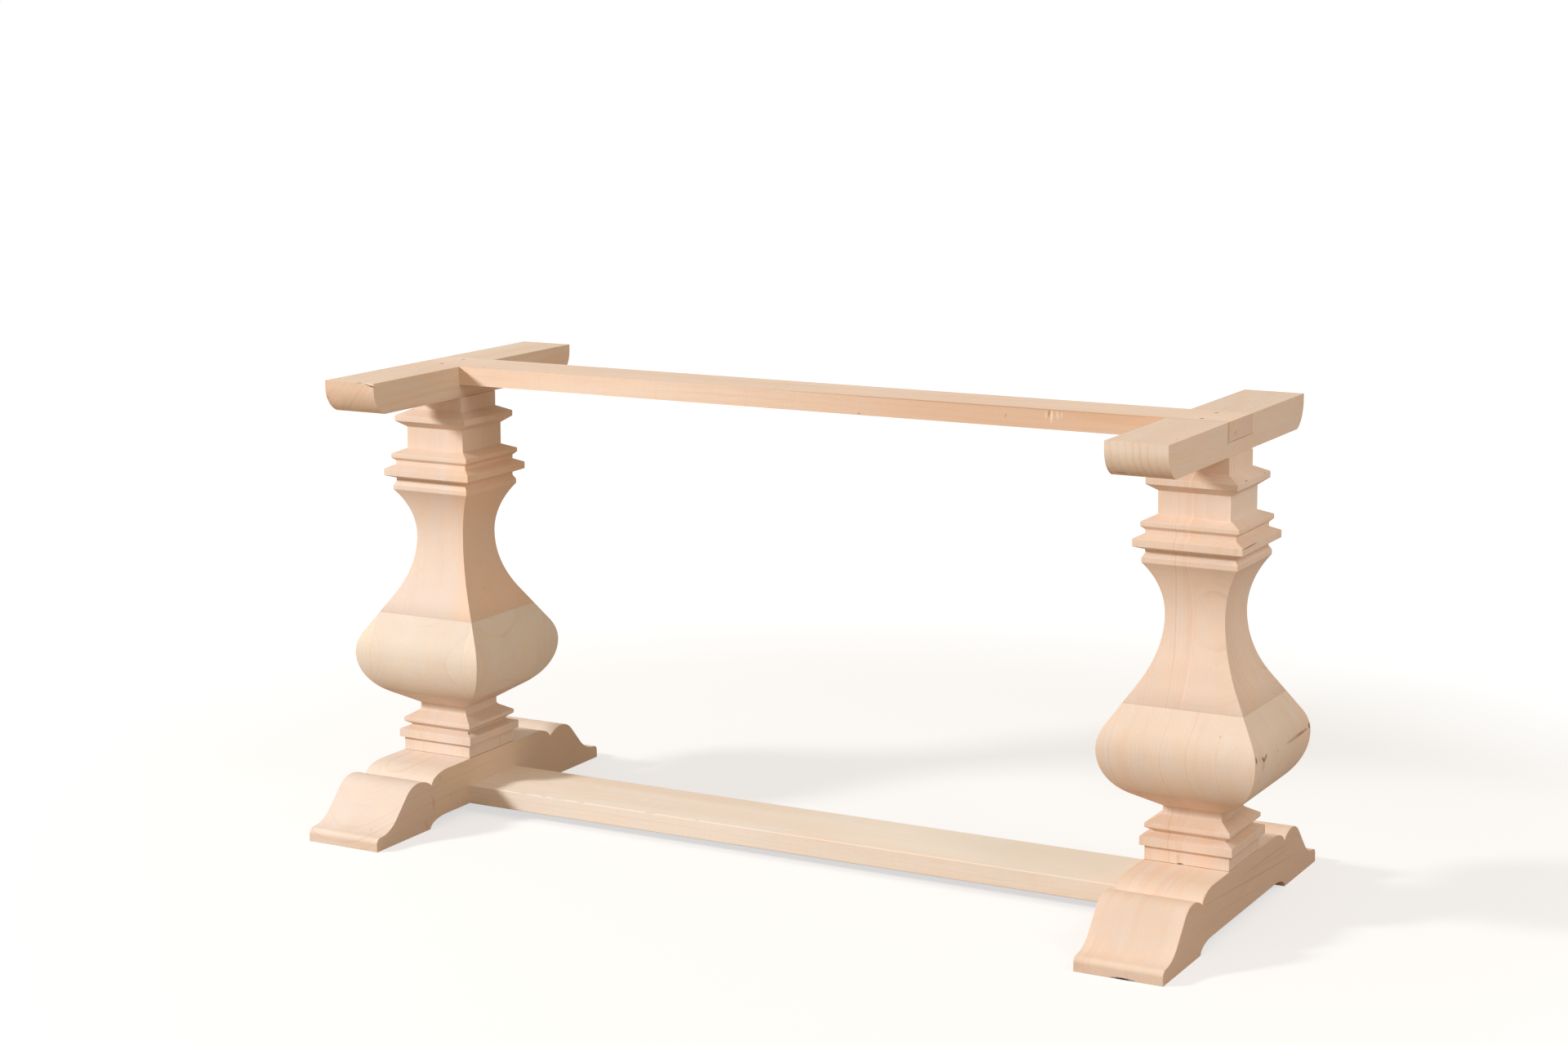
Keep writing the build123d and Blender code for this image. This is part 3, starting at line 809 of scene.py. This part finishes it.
# Rail: one flat maple board, let into the housings of both cleats and screwed down.
# It lies flush with their tops and outer faces, and is planed and left raw as they are.
rail_ease = 0.0006
rail_orange = (0.72, 0.47, 0.31)
rail_wood = maple(
    "rail_maple",
    heart=(0.0, 0.10, 0.60),
    turn=(0.0, 90.0, 0.5),
    pale=(0.90, 0.75, 0.63),
    deep=(0.87, 0.68, 0.55),
    streak=0.4,
    end=0.6,
    end_tint=(0.80, 0.75, 0.72),
    ripple=0.25,
    marks=(
        *rail_joints,
        # The front edge turns orange towards the right end, which has one fleck.
        mark(rail_orange, (0.75, rail_low.y, 0.71), (0.85, 0.006, 0.3), 0.6),
        mark(rail_orange, (0.60, rail_low.y, 0.716), (0.20, 0.006, 0.008), 0.5, (0.0, 1.0, 0.0)),
        mark(knot_brown, (rail_high.x, -0.019, 0.705), (0.004, 0.006, 0.002), 0.4, (40.0, 0.0, 0.0)),
        # A brown line along the top of that edge, and a knot with pale scratches beside it.
        mark(knot_brown, (0.30, rail_low.y, 0.7236), (0.36, 0.002, 0.0012), 0.3),
        mark(knot_brown, (0.4215, rail_low.y, 0.7185), (0.0011, 0.004, 0.006), 0.75, (0.0, 4.0, 0.0)),
        mark(split_pale, (0.4255, rail_low.y, 0.714), (0.0022, 0.004, 0.010), 0.7, (0.0, 4.0, 0.0)),
        mark(split_pale, (0.4345, rail_low.y, 0.716), (0.0018, 0.004, 0.007), 0.55, (0.0, -6.0, 0.0)),
        mark(split_pale, (0.4410, rail_low.y, 0.717), (0.0012, 0.004, 0.006), 0.5, (0.0, 4.0, 0.0)),
        mark(split_pale, (0.4165, rail_low.y, 0.715), (0.0012, 0.004, 0.006), 0.5),
        mark(knot_brown, (0.3537, rail_low.y, 0.711), (0.0016, 0.004, 0.004), 0.25, (0.0, 20.0, 0.0)),
        # Pin knots on the top, and one low on the front edge.
        mark(knot_brown, (-0.5562, -0.0418, 0.724), (0.003, 0.002, 0.002), 0.6, (0.0, 0.0, 30.0)),
        mark(knot_brown, (-0.0303, -0.0367, 0.724), (0.0016, 0.0014, 0.002), 0.6),
        mark(knot_brown, (0.2112, -0.0243, 0.724), (0.0016, 0.0014, 0.002), 0.6),
        mark(knot_brown, (0.1166, -0.0487, 0.6973), (0.003, 0.002, 0.0014), 0.5),
    ),
)
show(eased_copy("top_rail", rail_ease), "top_rail", rail_wood)


# Rail screws: four small-headed steel screws through the rail, two into each cleat.
# Their heads lie flush in countersinks with a bronze finish, and their cross recess is painted near
# black as shade.
head_radius = 0.00325
head_height = 0.003
shank_radius = 0.002
recess_reach = 0.0019
recess_half = 0.00055
recess_depth = 0.0014
recess_taper = 0.6
tip_radius = 0.0002
head_segments = 24
screw_low, screw_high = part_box("rail_screws")
screw_bm = bmesh.new()
bmesh.ops.create_circle(screw_bm, cap_ends=True, segments=head_segments, radius=head_radius)
for axis in (0, 1):
    for place in (-recess_reach, -recess_half, recess_half, recess_reach):
        saw(screw_bm, axis, place)
rim = [edge for edge in screw_bm.edges if edge.is_boundary]
recess = []
for face in screw_bm.faces:
    middle = face.calc_center_median()
    nearer, farther = sorted((abs(middle.x), abs(middle.y)))
    if nearer < recess_half and farther < recess_reach:
        recess.append(face)
sunk = bmesh.ops.extrude_face_region(screw_bm, geom=recess)["geom"]
recess_floor = only(bmesh.types.BMVert, sunk)
bmesh.ops.delete(screw_bm, geom=recess, context="FACES")
bmesh.ops.scale(screw_bm, vec=(recess_taper, recess_taper, 1.0), verts=recess_floor)
bmesh.ops.translate(screw_bm, vec=(0.0, 0.0, -recess_depth), verts=recess_floor)
for radius, level in (
    (shank_radius, -head_height),
    (shank_radius, screw_low.z - screw_high.z + head_height),
    (tip_radius, screw_low.z - screw_high.z),
):
    wall = bmesh.ops.extrude_edge_only(screw_bm, edges=rim)["geom"]
    rim = only(bmesh.types.BMEdge, wall)
    for vert in {vert for edge in rim for vert in edge.verts}:
        flat = Vector((vert.co.x, vert.co.y, 0.0)).normalized() * radius
        vert.co = (flat.x, flat.y, level)
bmesh.ops.holes_fill(screw_bm, edges=rim, sides=0)
one_screw = screw_bm.verts[:] + screw_bm.edges[:] + screw_bm.faces[:]
for x in (screw_low.x + head_radius, screw_high.x - head_radius):
    for y in (screw_low.y + head_radius, screw_high.y - head_radius):
        copied = bmesh.ops.duplicate(screw_bm, geom=one_screw)["geom"]
        bmesh.ops.translate(screw_bm, vec=(x, y, screw_high.z), verts=only(bmesh.types.BMVert, copied))
bmesh.ops.delete(screw_bm, geom=one_screw, context="VERTS")
bmesh.ops.recalc_face_normals(screw_bm, faces=screw_bm.faces)

bronze = (0.42, 0.28, 0.17, 1.0)
recess_shade_black = (0.02, 0.013, 0.009, 1.0)
dark_below = 0.0004
bright_above = 0.0001
bronzed = bpy.data.materials.new("bronzed_screw")
bronzed.use_nodes = True
tree = bronzed.node_tree
coat = tree.nodes["Principled BSDF"]
height = tree.nodes.new("ShaderNodeSeparateXYZ")
wire(tree, tree.nodes.new("ShaderNodeTexCoord").outputs["Object"], height.inputs["Vector"])
# Painted shade: below the head's top face the coat turns near black, so the cross recess reads as
# shaded.
head_face = reach(tree, height.outputs["Z"], screw_high.z - dark_below, screw_high.z - bright_above)
wire(tree, tint(tree, head_face, recess_shade_black, bronze), coat.inputs["Base Color"])
coat.inputs["Roughness"].default_value = 0.6
coat.inputs["Specular IOR Level"].default_value = 0.1
show(screw_bm, "rail_screws", bronzed)


# Lag screws, washers and dowels: zinc-plated lag screws hold the pedestals to the feet and cleats.
# Birch dowels hold the stretcher. Little of them shows, so their solids only get a finish.
def metal(name, colour, roughness):
    """Plated steel with a faint unevenness."""
    material = bpy.data.materials.new(name)
    material.use_nodes = True
    tree = material.node_tree
    shader = tree.nodes["Principled BSDF"]
    space = tree.nodes.new("ShaderNodeTexCoord").outputs["Object"]
    uneven = cloud(tree, space, scale=400.0).outputs["Fac"]
    darker = tuple(value * 0.7 for value in colour)
    wire(tree, tint(tree, uneven, (*darker, 1.0), (*colour, 1.0)), shader.inputs["Base Color"])
    wire(tree, calc(tree, "MULTIPLY_ADD", uneven, 0.2, roughness), shader.inputs["Roughness"])
    shader.inputs["Metallic"].default_value = 1.0
    return material


zinc = metal("zinc_plate", colour=(0.62, 0.61, 0.58), roughness=0.3)
dowel_wood = maple(
    "dowel_birch",
    heart=(0.0, 0.05, 0.03),
    turn=(0.0, 90.0, 0.0),
    pale=(0.86, 0.73, 0.58),
    deep=(0.81, 0.66, 0.50),
)
for node, finish in (
    ("foot_lag_screws", zinc),
    ("foot_washers", zinc),
    ("cleat_lag_screws", zinc),
    ("cleat_washers", zinc),
    ("stretcher_dowels", dowel_wood),
):
    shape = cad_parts[node]
    shape.data.materials.clear()
    shape.data.materials.append(finish)


# Studio: a white paper floor that keeps a soft shadow, and a white surround whose light is warm.
# A softbox high on the left makes the shadows, and a weak one near the right pedestal lifts its side.
floor_half = 30.0
floor_bm = bmesh.new()
bmesh.ops.create_grid(floor_bm, x_segments=1, y_segments=1, size=floor_half)
floor_mesh = bpy.data.meshes.new("floor")
floor_bm.to_mesh(floor_mesh)
floor_bm.free()
floor = bpy.data.objects.new("floor", floor_mesh)
bpy.context.scene.collection.objects.link(floor)


def seen_directly(tree):
    """1 for rays from the camera, and for what metal mirrors or glass shows."""
    path = tree.nodes.new("ShaderNodeLightPath").outputs
    return calc(
        tree,
        "MAXIMUM",
        path["Is Camera Ray"],
        calc(tree, "MAXIMUM", path["Is Glossy Ray"], path["Is Transmission Ray"]),
    )


white = (1.0, 1.0, 1.0, 1.0)
paper_white = (0.95, 0.95, 0.95, 1.0)
bounce_tan = (0.42, 0.31, 0.22, 1.0)
glow_strength = 1.08
glow_share = 0.6
shadow_reach = 1.0
all_white_from = 2.2
paper = bpy.data.materials.new("white_floor")
paper.use_nodes = True
tree = paper.node_tree
tree.nodes.remove(tree.nodes["Principled BSDF"])
matt = tree.nodes.new("ShaderNodeBsdfDiffuse")
seen = seen_directly(tree)
wire(tree, tint(tree, seen, bounce_tan, paper_white), matt.inputs["Color"])
glow = tree.nodes.new("ShaderNodeEmission")
glow.inputs["Strength"].default_value = glow_strength
floor_place = tree.nodes.new("ShaderNodeTexCoord").outputs["Object"]
far = reach(tree, vector_calc(tree, "LENGTH", floor_place), shadow_reach, all_white_from)
glowing = calc(tree, "MULTIPLY_ADD", far, 1.0 - glow_share, glow_share)
either = tree.nodes.new("ShaderNodeMixShader")
wire(tree, calc(tree, "MULTIPLY", seen, glowing), either.inputs["Fac"])
tree.links.new(matt.outputs["BSDF"], either.inputs[1])
tree.links.new(glow.outputs["Emission"], either.inputs[2])
tree.links.new(either.outputs["Shader"], tree.nodes["Material Output"].inputs["Surface"])
floor_mesh.materials.append(paper)

ambient = 0.46
ambient_warm = (1.0, 0.83, 0.62, 1.0)
world = bpy.data.worlds.new("studio")
bpy.context.scene.world = world
world.use_nodes = True
tree = world.node_tree
air = tree.nodes["Background"]
seen = seen_directly(tree)
wire(tree, tint(tree, seen, ambient_warm, white), air.inputs["Color"])
wire(tree, calc(tree, "MULTIPLY_ADD", seen, 1.0 - ambient, ambient), air.inputs["Strength"])


def softbox(name, place, aim, size, power, colour):
    """A square area lamp."""
    lamp = bpy.data.lights.new(name, "AREA")
    lamp.size = size
    lamp.energy = power
    lamp.color = colour
    holder = bpy.data.objects.new(name, lamp)
    holder.location = place
    holder.rotation_euler = (Vector(aim) - Vector(place)).to_track_quat("-Z", "Y").to_euler()
    holder.visible_camera = False
    bpy.context.scene.collection.objects.link(holder)


softbox(
    "key",
    place=(-5.2, -4.35, 3.6),
    aim=(0.0, 0.0, 0.35),
    size=1.0,
    power=475.0,
    colour=(1.0, 1.0, 1.0),
)
softbox(
    "fill",
    place=(2.4, -0.6, 1.8),
    aim=(0.5, 0.0, 0.55),
    size=1.0,
    power=14.5,
    colour=(1.0, 0.98, 0.96),
)

camera_data = bpy.data.cameras.new("camera")
camera_data.lens = 66.932
camera_data.shift_y = -0.1
camera = bpy.data.objects.new("camera", camera_data)
camera.location = (2.0575, -3.8502, 1.3299)
camera.rotation_euler = (radians(82.51), radians(0.161), radians(28.512))
bpy.context.scene.collection.objects.link(camera)
bpy.context.scene.camera = camera
bpy.context.scene.view_settings.view_transform = "Standard"
